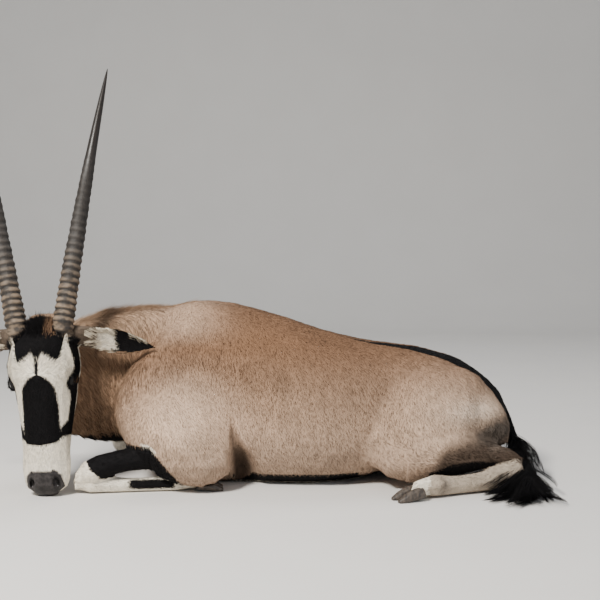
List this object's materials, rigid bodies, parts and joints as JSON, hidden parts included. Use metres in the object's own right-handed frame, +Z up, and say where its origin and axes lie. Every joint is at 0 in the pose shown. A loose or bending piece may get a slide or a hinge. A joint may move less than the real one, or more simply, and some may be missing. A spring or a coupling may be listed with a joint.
{
  "type": "gemsbok lying down",
  "caption": "Life-size gemsbok bull lying on its chest with legs folded and muzzle on the floor, long ringed horns upright, modelled as one still piece.",
  "frame": {"origin": "on the floor under the middle of the whole animal's bounding box", "axes": "+X towards the rump, -Y towards the side the head is turned to (the animal's left), +Z up"},
  "size_m": [1.6389, 0.8233, 1.1468],
  "materials": {
    "tan_coat": "short dense hair, fawn with a fine grey grizzle",
    "black_coat": "black hair, short on the legs and long on the tail",
    "white_coat": "short white hair on the face, ears and lower legs",
    "horn": "horn: dull ringed base and a smooth dark point",
    "hoof": "satin grey-brown horn",
    "eye": "wet gloss, dark brown"
  },
  "bodies": {
    "root": {"ear_left": "white_coat", "ear_right": "white_coat", "eye_left": "eye", "eye_right": "eye", "fore_cannon_left": "white_coat", "fore_cannon_right": "white_coat", "forearm_left": "black_coat", "forearm_right": "black_coat", "head": "white_coat", "hind_cannon_left": "white_coat", "hind_cannon_right": "white_coat", "hoof_fore_left_a": "hoof", "hoof_fore_left_b": "hoof", "hoof_fore_right_a": "hoof", "hoof_fore_right_b": "hoof", "hoof_hind_left_a": "hoof", "hoof_hind_left_b": "hoof", "hoof_hind_right_a": "hoof", "hoof_hind_right_b": "hoof", "horn_left": "horn", "horn_right": "horn", "neck": "tan_coat", "shank_left": "tan_coat", "shank_right": "tan_coat", "shoulder_left": "tan_coat", "shoulder_right": "tan_coat", "tail": "black_coat", "tail_tuft": "black_coat", "thigh_left": "tan_coat", "thigh_right": "tan_coat", "torso": "tan_coat"}
  },
  "joints": []
}
